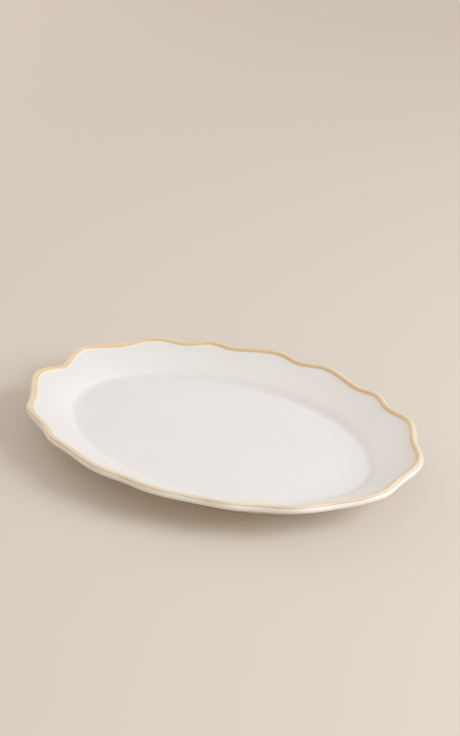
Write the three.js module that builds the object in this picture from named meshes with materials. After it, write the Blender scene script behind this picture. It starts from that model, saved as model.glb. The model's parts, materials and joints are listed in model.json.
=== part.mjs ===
// Oval china serving platter with a scalloped, rolled lip.
// Millimetres, +Z up, long axis along X, standing on its foot at z = 0.
// The clay was pressed over an oval mould: a flat well, a short curved wall (the cavetto) and a
// broad sloping flange, whose wavy edge is rolled over into a bead. An ochre enamel band is fired
// round the bead, and the underside stands on an oval foot ring that is left without glaze.
import * as THREE from 'three';

// ---- driving dimensions -------------------------------------------------------------------
const crestHalfLength = 197.2; // the oval that the lip's crest waves about
const crestHalfWidth = 140.4;
const crestHeight = 34.6; // above the table, where the lip crosses that oval
const wellHeight = 12.0; // upper face of the well's floor
const floorThickness = 4.6;
const flangeSlope = 0.47; // rise over run of the flange
const flangeDrop = 1.4; // flange below the crest, carried out to the crest line
const flangeThickness = 5.2; // measured upright
const cavettoTop = 34.0; // inset from the crest line to where the flange meets the cavetto
const cavettoFoot = 41.3; // inset from the crest line to where the cavetto meets the well
const beadRadius = 3.4;
const bandThickness = 0.8;
const seatGap = 0.3; // between pieces that touch
const bandInner = 78; // degrees from upright that the band reaches towards the well
const bandOuter = 62; // degrees from upright that the band reaches down the outer side
const lipDepth = 6.9; // crest to the lowest point of the lip
const footInset = 42.7; // crest line to the middle of the foot ring
const footWidthTop = 7.4;
const footWidthBottom = 5.0;

// Turning points of the scalloped edge over one quarter of the rim, from the end of the long axis
// (along = 0) to the end of the short axis (along = 1). out is the distance from the crest oval.
const edgeTurns = [
  { along: 0.0, out: -4.7 },
  { along: 0.125, out: 1.6 },
  { along: 0.28, out: -3.1 },
  { along: 0.405, out: 1.8 },
  { along: 0.535, out: -3.2 },
  { along: 0.63, out: 0.5 },
  { along: 0.715, out: -2.9 },
  { along: 0.895, out: 2.4 },
  { along: 1.0, out: -1.9 },
];
const deepNotch = 4.2; // extra depth of the notch at the -X end
const deepNotchReach = 0.12; // its half width, in quarters of the rim

// ---- mesh fineness ------------------------------------------------------------------------
const rimStations = 128;
const footStations = 96;
const arcSteps = 3;

// The round plate that is turned first: its crest radius, and the inset inside which the turned
// shape is scaled towards the middle, not offset from the rim.
const turnedRadius = 160;
const offsetReach = 60;

const quarters = 4;
const degree = Math.PI / 180;
const beadCentreHeight = crestHeight - beadRadius;

const crestOval = new THREE.EllipseCurve(0, 0, crestHalfLength, crestHalfWidth);
crestOval.arcLengthDivisions = 1440;

function edgeOffset(turn) {
  const quarterPlace = turn * quarters;
  const quarter = Math.floor(quarterPlace);
  const fraction = quarterPlace - quarter;
  const along = quarter % 2 === 0 ? fraction : 1 - fraction;
  const last = edgeTurns.length - 1;
  const next = Math.max(1, edgeTurns.findIndex((t, i) => t.along >= along || i === last));
  const from = edgeTurns[next - 1];
  const to = edgeTurns[next];
  const share = (along - from.along) / (to.along - from.along);
  const wave = from.out + (to.out - from.out) * (0.5 - 0.5 * Math.cos(Math.PI * share));
  const fromLeftEnd = Math.abs(turn - 0.5) * quarters;
  return wave - deepNotch * Math.max(0, 1 - fromLeftEnd / deepNotchReach);
}

// How much of the edge's wave a point feels: all of it on the lip, none inside the cavetto.
function waveShare(inset) {
  return THREE.MathUtils.clamp((cavettoTop - inset) / (cavettoTop - 6), 0, 1);
}

// Carries a turned, round shape over to the scalloped oval.
function pressToOval(turned) {
  const position = turned.getAttribute('position');
  for (let i = 0; i < position.count; i += 1) {
    const across = position.getX(i);
    const height = position.getY(i);
    const forward = position.getZ(i);
    const radius = Math.hypot(across, forward);
    const turn = (Math.atan2(across, forward) / (2 * Math.PI) + 1) % 1;
    const inset = turnedRadius - radius;
    const wave = waveShare(inset) * edgeOffset(turn);
    const shift = wave - Math.min(inset, offsetReach);
    const scale = Math.min(1, radius / (turnedRadius - offsetReach));
    const onCrest = crestOval.getPointAt(turn);
    const along = crestOval.getTangentAt(turn);
    const x = (onCrest.x + along.y * shift) * scale;
    const y = (onCrest.y - along.x * shift) * scale;
    position.setXYZ(i, x, y, height + flangeSlope * wave);
  }
  turned.computeVertexNormals();
  return turned;
}

function turnAndPress(name, section, stations, material) {
  const lathe = new THREE.LatheGeometry(section.getPoints(arcSteps), stations);
  const mesh = new THREE.Mesh(pressToOval(lathe), material);
  mesh.name = name;
  return mesh;
}

// ---- fired body ---------------------------------------------------------------------------
// The section runs from the middle of the underside out to the lip and back over the top.
function bodySection() {
  const crest = turnedRadius;
  const underside = wellHeight - floorThickness;
  const flangeAt = (inset) => crestHeight - flangeDrop - flangeSlope * inset;
  const seatRadius = beadRadius - bandThickness - seatGap;
  const innerSeatInset = (beadRadius + seatGap) * Math.sin(bandInner * degree);
  const outerAngle = bandOuter * degree;
  const gapAngle = outerAngle + seatGap / beadRadius;
  const lipLow = crestHeight - lipDepth;
  const sideRadius = crest + beadRadius;

  const section = new THREE.Path();
  section.moveTo(0, underside);
  section.lineTo(crest - cavettoFoot + 1, underside);
  section.quadraticCurveTo(
    crest - cavettoFoot + 5,
    underside,
    crest - cavettoTop,
    flangeAt(cavettoTop) - flangeThickness,
  );
  section.lineTo(crest - 4, flangeAt(4) - flangeThickness);
  section.quadraticCurveTo(crest - 1, lipLow, crest + 0.6, lipLow);
  section.quadraticCurveTo(sideRadius, lipLow, sideRadius, beadCentreHeight - 1);
  section.lineTo(
    crest + beadRadius * Math.sin(gapAngle),
    beadCentreHeight + beadRadius * Math.cos(gapAngle),
  );
  section.absarc(
    crest,
    beadCentreHeight,
    seatRadius,
    Math.PI / 2 - gapAngle,
    Math.PI / 2 + bandInner * degree,
    false,
  );
  section.lineTo(crest - innerSeatInset, flangeAt(innerSeatInset));
  section.lineTo(crest - cavettoTop + 3, flangeAt(cavettoTop - 3));
  section.quadraticCurveTo(
    crest - cavettoTop,
    flangeAt(cavettoTop),
    crest - (cavettoTop + cavettoFoot) / 2,
    (flangeAt(cavettoTop) + wellHeight) / 2,
  );
  section.quadraticCurveTo(crest - cavettoFoot, wellHeight, crest - cavettoFoot - 4, wellHeight);
  section.lineTo(0, wellHeight);
  return section;
}

// ---- ochre band ---------------------------------------------------------------------------
function bandSection() {
  const start = Math.PI / 2 - bandOuter * degree;
  const end = Math.PI / 2 + bandInner * degree;
  const innerRadius = beadRadius - bandThickness;
  const section = new THREE.Path();
  section.absarc(turnedRadius, beadCentreHeight, beadRadius, start, end, false);
  section.absarc(turnedRadius, beadCentreHeight, innerRadius, end, start, true);
  section.closePath();
  return section;
}

// ---- foot ring ----------------------------------------------------------------------------
function footSection() {
  const middle = turnedRadius - footInset;
  const top = wellHeight - floorThickness - seatGap;
  const edge = 0.8;
  const section = new THREE.Path();
  section.moveTo(middle - footWidthBottom / 2, 0);
  section.lineTo(middle + footWidthBottom / 2, 0);
  section.lineTo(middle + footWidthBottom / 2 + edge, edge);
  section.lineTo(middle + footWidthTop / 2, top);
  section.lineTo(middle - footWidthTop / 2, top);
  section.lineTo(middle - footWidthBottom / 2 - edge, edge);
  section.closePath();
  return section;
}

const whiteGlaze = new THREE.MeshStandardMaterial({ color: 0xece8e1, roughness: 0.3, metalness: 0 });
const ochreEnamel = new THREE.MeshStandardMaterial({ color: 0xdcb87c, roughness: 0.4, metalness: 0 });
const bareClay = new THREE.MeshStandardMaterial({ color: 0xd8c9b2, roughness: 0.85, metalness: 0 });

const platter = new THREE.Group();
platter.add(turnAndPress('platter_body', bodySection(), rimStations, whiteGlaze));
platter.add(turnAndPress('rim_band', bandSection(), rimStations, ochreEnamel));
platter.add(turnAndPress('foot_ring', footSection(), footStations, bareClay));

export default platter;
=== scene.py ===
import bisect
import json
import math

import bmesh
import bpy
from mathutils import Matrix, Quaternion, Vector, noise


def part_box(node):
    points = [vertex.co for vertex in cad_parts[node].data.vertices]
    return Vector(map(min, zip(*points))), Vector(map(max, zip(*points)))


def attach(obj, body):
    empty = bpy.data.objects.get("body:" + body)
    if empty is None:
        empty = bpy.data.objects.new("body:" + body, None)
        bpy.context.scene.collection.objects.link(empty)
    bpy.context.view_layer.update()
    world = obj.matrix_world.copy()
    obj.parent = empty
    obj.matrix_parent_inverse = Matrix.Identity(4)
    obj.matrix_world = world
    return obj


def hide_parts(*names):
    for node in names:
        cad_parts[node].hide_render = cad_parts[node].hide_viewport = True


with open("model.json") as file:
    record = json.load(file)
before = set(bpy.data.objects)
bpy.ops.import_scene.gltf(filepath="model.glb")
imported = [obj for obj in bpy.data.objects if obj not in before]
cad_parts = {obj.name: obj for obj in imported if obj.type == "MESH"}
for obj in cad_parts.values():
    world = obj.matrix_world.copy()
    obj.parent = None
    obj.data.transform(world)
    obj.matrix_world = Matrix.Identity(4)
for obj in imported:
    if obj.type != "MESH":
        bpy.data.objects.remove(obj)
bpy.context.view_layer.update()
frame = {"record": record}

# ---- Glazed body --------------------------------------------------------------------------
# The platter itself: one sheet of white clay pressed over an oval mould, with a flat well, a short
# wall with a soft foot (the cavetto) and a broad sloping flange. The waved edge is rolled into a
# bead, and a satin white glaze covers everything but the foot's sole.
mm = 0.001
foot_low, foot_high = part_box("foot_ring")
mount_places = {mount["name"]: mount["pos_m"] for mount in frame["record"]["mounts"]}

# The crest is the oval that the lip's top waves about. An inset is a distance in from it.
crest_half_length = 197.2 * mm
crest_half_width = 140.4 * mm
crest_height = 34.6 * mm
well_height = mount_places["well_floor"][2]
floor_thickness = 4.6 * mm
underside_height = well_height - floor_thickness
flange_slope = 0.47
flange_drop = 1.4 * mm
flange_thickness = 5.2 * mm
cavetto_top = 34 * mm
cavetto_foot = 41.3 * mm
bead_radius = 3.4 * mm
lip_depth = 6.9 * mm
lip_side_depth = 5 * mm

# The bead's inner side, as insets and depths below the crest: where its top ends, its shoulder,
# and its foot on the flange.
bead_top_inset = 1.4 * mm
shoulder_inset = 3.15 * mm
shoulder_depth = 1.75 * mm
bead_foot_inset = 3.9 * mm

# The plate is turned round first, with its crest at this radius. Further in than offset_reach it
# is scaled to the oval, not offset from it, and the edge's wave is full out to full_wave_inset.
stations = 384
rounding_steps = 8
round_crest = 160 * mm
offset_reach = 60 * mm
full_wave_inset = 6 * mm
merge_distance = 0.01 * mm

# Turning points of the waved edge over a quarter of the rim: how far along the quarter, and how
# far outside the crest oval, in millimetres.
edge_turns = (
    (0.0, -4.7),
    (0.125, 1.6),
    (0.28, -3.1),
    (0.405, 1.8),
    (0.535, -3.2),
    (0.63, 0.5),
    (0.715, -2.9),
    (0.895, 2.4),
    (1.0, -1.9),
)
deep_notch = 4.2 * mm
deep_notch_reach = 0.12


def edge_wave(turn):
    """Distance from the crest oval to the waved edge, at a share of the way round."""
    quarter, along = divmod(turn * 4, 1)
    if quarter % 2:
        along = 1 - along
    for (start, low), (end, high) in zip(edge_turns, edge_turns[1:]):
        if along <= end:
            share = (along - start) / (end - start)
            wave = low + (high - low) * (0.5 - 0.5 * math.cos(math.pi * share))
            break
    from_notch = abs(turn - 0.5) * 4
    return wave * mm - deep_notch * max(0, 1 - from_notch / deep_notch_reach)


def oval_stations():
    """Point, outward direction and wave of the edge, at equal steps along the crest oval."""
    fine = 7200
    lengths = [0.0]
    last = Vector((crest_half_length, 0))
    for step in range(1, fine + 1):
        angle = math.tau * step / fine
        point = Vector((crest_half_length * math.cos(angle), crest_half_width * math.sin(angle)))
        lengths.append(lengths[-1] + (point - last).length)
        last = point
    found = []
    for station in range(stations):
        turn = station / stations
        angle = math.tau * bisect.bisect_left(lengths, turn * lengths[-1]) / fine
        point = Vector((crest_half_length * math.cos(angle), crest_half_width * math.sin(angle)))
        outward = Vector((math.cos(angle) / crest_half_length, math.sin(angle) / crest_half_width))
        found.append((point, outward.normalized(), edge_wave(turn)))
    return found


rim = oval_stations()


def rounded_section(bm, corners, closed):
    """Draws a section from corners of (inset from the crest, height, rounding), all in metres."""
    verts = [bm.verts.new((round_crest - inset, 0, height)) for inset, height, _ in corners]
    for one, other in zip(verts, verts[1:]):
        bm.edges.new((one, other))
    if closed:
        bm.edges.new((verts[-1], verts[0]))
    for vert, (_, _, rounding) in zip(verts, corners):
        if rounding:
            bmesh.ops.bevel(
                bm,
                geom=[vert],
                offset=rounding,
                offset_type="OFFSET",
                segments=rounding_steps,
                profile=0.5,
                affect="VERTICES",
                material=-1,
            )


def turn_round(bm):
    """Turns the section into a round plate, and closes its seam and its middle."""
    bmesh.ops.spin(
        bm,
        geom=bm.verts[:] + bm.edges[:],
        cent=(0, 0, 0),
        axis=(0, 0, 1),
        angle=math.tau,
        steps=stations,
        use_merge=True,
    )
    bmesh.ops.remove_doubles(bm, verts=bm.verts[:], dist=merge_distance)
    bmesh.ops.recalc_face_normals(bm, faces=bm.faces[:])


def press_to_oval(bm):
    """Moves each point of the round plate out to the waved oval."""
    for vert in bm.verts:
        radius = vert.co.xy.length
        turn = math.atan2(vert.co.y, vert.co.x) / math.tau
        point, outward, wave = rim[round(turn * stations) % stations]
        inset = round_crest - radius
        felt = min(1, max(0, (cavetto_top - inset) / (cavetto_top - full_wave_inset)))
        shift = felt * wave - min(inset, offset_reach)
        scale = min(1, radius / (round_crest - offset_reach))
        height = vert.co.z + flange_slope * felt * wave
        vert.co.xy = (point + outward * shift) * scale
        vert.co.z = height


def flange_height(inset):
    """Height of the flange's upper face."""
    return crest_height - flange_drop - flange_slope * inset


def finish_piece(bm, name, material):
    """Makes the finished mesh an object of its own, smooth and in its material."""
    mesh = bpy.data.meshes.new(name)
    bm.to_mesh(mesh)
    bm.free()
    mesh.shade_smooth()
    mesh.materials.append(material)
    piece = bpy.data.objects.new(name, mesh)
    bpy.context.scene.collection.objects.link(piece)
    return piece


class Socket:
    """A shader socket that can be used in arithmetic; each step adds its Math node."""

    def __init__(self, paint, output):
        self.paint = paint
        self.output = output

    def math(self, operation, first, second):
        node = self.paint.node("ShaderNodeMath", {"operation": operation}, {0: first, 1: second})
        return Socket(self.paint, node.outputs[0])

    def __add__(self, other):
        return self.math("ADD", self, other)

    __radd__ = __add__

    def __sub__(self, other):
        return self.math("SUBTRACT", self, other)

    def __rsub__(self, other):
        return self.math("SUBTRACT", other, self)

    def __mul__(self, other):
        return self.math("MULTIPLY", self, other)

    __rmul__ = __mul__

    def ramp(self, low, high):
        """0 below low, 1 above high, and a smooth rise between them."""
        node = self.paint.node(
            "ShaderNodeMapRange",
            {"interpolation_type": "SMOOTHSTEP"},
            {"Value": self, "From Min": low, "From Max": high},
        )
        return Socket(self.paint, node.outputs["Result"])


class Paint:
    """A material being mixed: its nodes are added one by one, and its shader takes the results."""

    def __init__(self, name):
        self.material = bpy.data.materials.new(name)
        self.material.use_nodes = True
        self.tree = self.material.node_tree
        self.shader = self.tree.nodes["Principled BSDF"]

    def node(self, kind, settings=None, inputs=None):
        made = self.tree.nodes.new(kind)
        for name, value in (settings or {}).items():
            setattr(made, name, value)
        for key, value in (inputs or {}).items():
            self.put(made.inputs[key], value)
        return made

    def put(self, socket, value):
        if isinstance(value, Socket):
            self.tree.links.new(value.output, socket)
        else:
            socket.default_value = value

    def set(self, **values):
        for name, value in values.items():
            self.put(self.shader.inputs[name.replace("_", " ")], value)

    def place(self):
        return Socket(self, self.node("ShaderNodeTexCoord").outputs["Object"])

    def attribute(self, name, output="Fac"):
        made = self.node("ShaderNodeAttribute", {"attribute_name": name})
        return Socket(self, made.outputs[output])

    def noise(self, where, scale, detail=2.0, roughness=0.5):
        made = self.node(
            "ShaderNodeTexNoise",
            None,
            {"Vector": where, "Scale": scale, "Detail": detail, "Roughness": roughness},
        )
        return Socket(self, made.outputs["Fac"])

    def mix(self, share, first, second):
        made = self.node("ShaderNodeMix", {"data_type": "RGBA"}, {0: share, 6: first, 7: second})
        return Socket(self, made.outputs[2])

    def bump(self, height, distance, strength=1.0):
        made = self.node(
            "ShaderNodeBump", None, {"Height": height, "Distance": distance, "Strength": strength}
        )
        return Socket(self, made.outputs["Normal"])


def white_glaze(paint, depth):
    """Colour of the white glaze: greyer where it has pooled, warm where the clay shows through."""
    soft_white = (0.83, 0.796, 0.752, 1)
    clear_white = (0.845, 0.813, 0.772, 1)
    speckle = (0.80, 0.75, 0.69, 1)
    pool_grey = (0.80, 0.77, 0.725, 1)
    clay_warmth = (0.80, 0.71, 0.58, 1)
    where = paint.place()
    cloud = paint.noise(where, 14, 3)
    grain = paint.noise(where, 260, 2)
    even = paint.mix(cloud.ramp(0.3, 0.7), soft_white, clear_white)
    even = paint.mix(grain.ramp(0.55, 0.8) * 0.25, even, speckle)
    pooled = paint.mix(depth.ramp(0.0, 1.0), even, pool_grey)
    return paint.mix((0 - depth).ramp(0.1, 1.0), pooled, clay_warmth)


def glaze_surface(paint):
    """Satin gloss with the slight orange peel and slow swell of a dipped glaze."""
    where = paint.place()
    peel = paint.noise(where, 420, 2)
    swell = paint.noise(where, 30, 1)
    paint.set(
        Roughness=0.3 + 0.12 * paint.noise(where, 60, 3),
        Normal=paint.bump(peel * 0.15 + swell, 0.12 * mm),
        IOR=1.5,
    )


body_paint = Paint("satin_white_glaze")
body_paint.set(Base_Color=white_glaze(body_paint, body_paint.attribute("glaze_depth")))
glaze_surface(body_paint)

# Corners from the middle of the underside, out round the lip and back over the top: inset, height
# and rounding.
wall_foot = cavetto_foot - 2 * mm
wall_top = cavetto_top - 2.5 * mm
lip_back = 3 * mm
lip_under = -1.2 * mm
body_corners = (
    (round_crest, underside_height, 0),
    (offset_reach, underside_height, 0),
    (wall_foot, underside_height, 4 * mm),
    (wall_top, flange_height(wall_top) - flange_thickness, 5 * mm),
    (lip_back, flange_height(lip_back) - flange_thickness, 2 * mm),
    (lip_under, crest_height - lip_depth, 1.4 * mm),
    (-bead_radius, crest_height - lip_side_depth, 1.3 * mm),
    (-bead_radius, crest_height, bead_radius),
    (bead_top_inset, crest_height, 1.4 * mm),
    (shoulder_inset, crest_height - shoulder_depth, 1 * mm),
    (bead_foot_inset, flange_height(bead_foot_inset), 2 * mm),
    (cavetto_top, flange_height(cavetto_top), 3 * mm),
    (cavetto_foot, well_height, 4.2 * mm),
    (offset_reach, well_height, 0),
    (round_crest, well_height, 0),
)
body_mesh = bmesh.new()
rounded_section(body_mesh, body_corners, closed=False)
turn_round(body_mesh)


def near(inset, middle, half_width):
    """1 at an inset of middle, falling away to nothing on both sides of it."""
    return math.exp(-(((inset - middle) / half_width) ** 2))


# The glaze runs into the hollows and thins over the edges before it is fired.
beside_bead = 5.6 * mm
depth_layer = body_mesh.verts.layers.float.new("glaze_depth")
for vert in body_mesh.verts:
    inset = round_crest - vert.co.xy.length
    upper = vert.co.z > flange_height(max(inset, 0)) - 3 * mm or inset > cavetto_top
    pooled = near(inset, cavetto_foot, 3 * mm) + 0.7 * near(inset, beside_bead, 1.5 * mm)
    thinned = 0.35 * near(inset, -bead_radius, 0.6 * mm)
    vert[depth_layer] = (pooled if upper else 0) - thinned
press_to_oval(body_mesh)

glazed_body = finish_piece(body_mesh, "glazed_body", body_paint.material)
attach(glazed_body, "root")
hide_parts("platter_body")

# ---- Enamel band --------------------------------------------------------------------------
# The coloured line round the bead: ochre enamel laid on with a loaded brush over the fired glaze
# and fired again. It is deep ochre on the bead's inner side and painted paler over the crest and
# outer side, a painted highlight, with a darker brown line near its hand-drawn outer edge.
enamel_relief = 0.08 * mm
enamel_bed = -0.5 * mm
enamel_outer = math.radians(47)
enamel_inner = math.radians(74)
enamel_edge_inset = 3.5 * mm
enamel_edge_depth = 2.4 * mm
slow_wander_degrees = 7
quick_wander_degrees = 3
bead_centre = crest_height - bead_radius


def enamel_corners(lift):
    """Corners of the enamel from its outer edge over the bead to its inner edge."""
    radius = bead_radius + lift
    tangent = radius * math.tan(enamel_outer / 2)
    outer_drop = radius * (1 - math.cos(enamel_outer))
    return [
        (-radius * math.sin(enamel_outer), crest_height + lift - outer_drop, 0),
        (-tangent, crest_height + lift, tangent),
        (bead_top_inset + 0.4 * lift, crest_height + lift, 1.4 * mm),
        (shoulder_inset + 0.8 * lift, crest_height - shoulder_depth + 0.6 * lift, 1 * mm),
        (enamel_edge_inset + lift, crest_height - enamel_edge_depth, 0),
    ]


band_mesh = bmesh.new()
band_corners = enamel_corners(enamel_relief) + enamel_corners(enamel_bed)[::-1]
rounded_section(band_mesh, band_corners, closed=True)
turn_round(band_mesh)

# "across" runs from 0 at the inner edge to 1 at the outer edge, and "brush" follows the stroke
# round the rim. The outer edge wanders as the hand did, by a few degrees about the bead.
across_layer = band_mesh.verts.layers.float.new("across")
brush_layer = band_mesh.verts.layers.float_vector.new("brush")
for vert in band_mesh.verts:
    outward = vert.co.xy.length - round_crest
    upward = vert.co.z - bead_centre
    angle = math.atan2(outward, upward)
    across = (angle + enamel_inner) / (enamel_outer + enamel_inner)
    vert[across_layer] = across
    direction = vert.co.xy.normalized().to_3d()
    vert[brush_layer] = direction * 3 + Vector((0, 0, across))
    if angle > 0:
        wander = slow_wander_degrees * noise.noise(direction * 9)
        wander += quick_wander_degrees * noise.noise(direction * 40)
        moved = angle * (1 + math.radians(wander) / enamel_outer)
        reach = math.hypot(outward, upward)
        vert.co.xy = direction.xy * (round_crest + reach * math.sin(moved))
        vert.co.z = bead_centre + reach * math.cos(moved)
press_to_oval(band_mesh)

deep_ochre = (0.74, 0.52, 0.275, 1)
highlit_ochre = (0.82, 0.69, 0.49, 1)
pale_fleck = (0.83, 0.70, 0.50, 1)
edge_brown = (0.55, 0.36, 0.18, 1)
band_paint = Paint("ochre_enamel")
place = band_paint.place()
brush = band_paint.attribute("brush", "Vector")
across = band_paint.attribute("across")
stroke = band_paint.noise(brush, 5, 3, 0.6)
cloud = band_paint.noise(place, 45, 2)
flecks = band_paint.noise(place, 600, 2)
# The enamel is painted paler towards the crest and outer edge, a painted highlight, broken up by
# the stroke and cloud noise.
painted_highlight_share = (across + (stroke - 0.5) * 0.5 + (cloud - 0.5) * 0.5).ramp(0.1, 0.75)
ochre = band_paint.mix(painted_highlight_share, deep_ochre, highlit_ochre)
ochre = band_paint.mix(flecks.ramp(0.5, 0.75) * 0.3, ochre, pale_fleck)
# A darker brown line near the outer edge of the enamel.
edge_line = (across + (cloud - 0.5) * 0.15).ramp(0.84, 0.93)
ochre = band_paint.mix(edge_line * (0.35 + 0.5 * stroke), ochre, edge_brown)
band_paint.set(
    Base_Color=ochre,
    Roughness=0.3 + 0.14 * flecks,
    Normal=band_paint.bump(stroke * 0.5 + flecks * 0.15, 0.1 * mm),
    IOR=1.5,
)
enamel_band = finish_piece(band_mesh, "enamel_band", band_paint.material)
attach(enamel_band, "root")
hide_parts("rim_band")

# ---- Foot ring ----------------------------------------------------------------------------
# The oval foot under the edge of the well, moulded with the body. Its sides are glazed, and its
# sole is wiped clean so that it doesn't stick to the kiln shelf, then ground flat on a wheel.
foot_half_top = 3.7 * mm
foot_half_sole = 2.6 * mm
foot_middle = crest_half_length - (foot_high.x - foot_low.x) / 2 + foot_half_top
foot_top = underside_height + 0.2 * mm  # let into the body, so that no gap shows
sole_rounding = 0.6 * mm
foot_corners = (
    (foot_middle - foot_half_sole, foot_low.z, sole_rounding),
    (foot_middle + foot_half_sole, foot_low.z, sole_rounding),
    (foot_middle + foot_half_top, foot_top, 0),
    (foot_middle - foot_half_top, foot_top, 0),
)
foot_mesh = bmesh.new()
rounded_section(foot_mesh, foot_corners, closed=True)
turn_round(foot_mesh)

# "rise" runs from 0 at the sole to 1 at the underside of the well.
rise_layer = foot_mesh.verts.layers.float.new("rise")
for vert in foot_mesh.verts:
    vert[rise_layer] = (vert.co.z - foot_low.z) / underside_height
press_to_oval(foot_mesh)

pale_clay = (0.74, 0.65, 0.53, 1)
scorched_clay = (0.67, 0.56, 0.43, 1)
sand_grain = (0.77, 0.69, 0.57, 1)
iron_speck = (0.22, 0.14, 0.09, 1)
foot_glaze = (0.835, 0.80, 0.765, 1)
foot_paint = Paint("bare_clay")
place = foot_paint.place()
sand = foot_paint.noise(place, 900, 4, 0.7)
scorch = foot_paint.noise(place, 25, 3)
iron = foot_paint.noise(place, 1500, 1)
clay = foot_paint.mix(scorch.ramp(0.35, 0.7), pale_clay, scorched_clay)
clay = foot_paint.mix(sand.ramp(0.45, 0.7) * 0.5, clay, sand_grain)
clay = foot_paint.mix(iron.ramp(0.72, 0.8), clay, iron_speck)
rise = foot_paint.attribute("rise")
glazed = (rise + (scorch - 0.5) * 0.15 + (sand - 0.5) * 0.06).ramp(0.2, 0.26)
foot_paint.set(
    Base_Color=foot_paint.mix(glazed, clay, foot_glaze),
    Roughness=0.78 + 0.15 * sand - 0.45 * glazed,
    Normal=foot_paint.bump(sand * (1 - glazed) + glazed * 0.8, 0.15 * mm),
)
ground_foot = finish_piece(foot_mesh, "ground_foot", foot_paint.material)
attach(ground_foot, "root")
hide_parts("foot_ring")

# ---- Floor, camera and light --------------------------------------------------------------
# A plain pale floor that the platter stands on, a camera that looks down on it from the front
# right, a large soft lamp on the right and a weaker one behind on the left, and an even pale
# surround that is a little warmer near the horizon.
floor_half = 9.0
floor_mesh = bmesh.new()
bmesh.ops.create_grid(floor_mesh, x_segments=1, y_segments=1, size=floor_half)
bmesh.ops.translate(floor_mesh, verts=floor_mesh.verts[:], vec=(0, 0, foot_low.z))
floor_paint = Paint("pale_floor")
floor_paint.set(Base_Color=(0.72, 0.645, 0.555, 1), Roughness=0.9, Specular_IOR_Level=0.2)
floor = finish_piece(floor_mesh, "floor", floor_paint.material)

azimuth = math.radians(35.19)
elevation = math.radians(26.6)
roll = math.radians(0.58)
distance = 1.6027
look_at = Vector((-0.0496, 0.0873, 0.0327))
rightward = Vector((math.cos(azimuth), math.sin(azimuth), 0))
away = Vector((-math.sin(azimuth), math.cos(azimuth), 0))
upward = Vector((0, 0, 1))
back = upward * math.sin(elevation) - away * math.cos(elevation)
camera_data = bpy.data.cameras.new("camera")
camera_data.sensor_width = 36
camera_data.lens = 79.73
camera = bpy.data.objects.new("camera", camera_data)
camera.location = look_at + back * distance
camera.rotation_mode = "QUATERNION"
camera.rotation_quaternion = (-back).to_track_quat("-Z", "Y") @ Quaternion((0, 0, 1), roll)
bpy.context.scene.collection.objects.link(camera)
bpy.context.scene.camera = camera


def soft_lamp(name, turn, lift, reach, width, power, colour):
    """A round lamp aimed at the platter, turned from the camera's right towards its far side."""
    data = bpy.data.lights.new(name, "AREA")
    data.shape = "DISK"
    data.size = width
    data.energy = power
    data.color = colour
    lamp = bpy.data.objects.new(name, data)
    level = rightward * math.cos(math.radians(turn)) + away * math.sin(math.radians(turn))
    towards = level * math.cos(math.radians(lift)) + upward * math.sin(math.radians(lift))
    lamp.location = towards * reach
    lamp.rotation_mode = "QUATERNION"
    lamp.rotation_quaternion = towards.to_track_quat("Z", "Y")
    bpy.context.scene.collection.objects.link(lamp)


soft_lamp("key_lamp", turn=-20, lift=31, reach=2.2, width=1.3, power=32, colour=(0.90, 1.0, 1.13))
soft_lamp("fill_lamp", turn=130, lift=20, reach=2.5, width=2.0, power=11, colour=(0.98, 1.0, 1.15))


class Surround(Paint):
    """The light from all round the platter, mixed with nodes as a material is."""

    def __init__(self, name):
        self.world = bpy.data.worlds.new(name)
        self.world.use_nodes = True
        self.tree = self.world.node_tree
        self.shader = self.tree.nodes["Background"]

    def upwardness(self):
        """0 level with the floor, 1 straight up."""
        towards = Socket(self, self.node("ShaderNodeTexCoord").outputs["Generated"])
        split = self.node("ShaderNodeSeparateXYZ", None, {"Vector": towards})
        return Socket(self, split.outputs["Z"])


horizon_light = (0.90, 0.77, 0.58, 1)
sky_light = (0.635, 0.605, 0.58, 1)
surround = Surround("surround")
sky_share = surround.upwardness().ramp(0, 0.6)
surround.set(Color=surround.mix(sky_share, horizon_light, sky_light))
bpy.context.scene.world = surround.world
bpy.context.scene.view_settings.view_transform = "Standard"
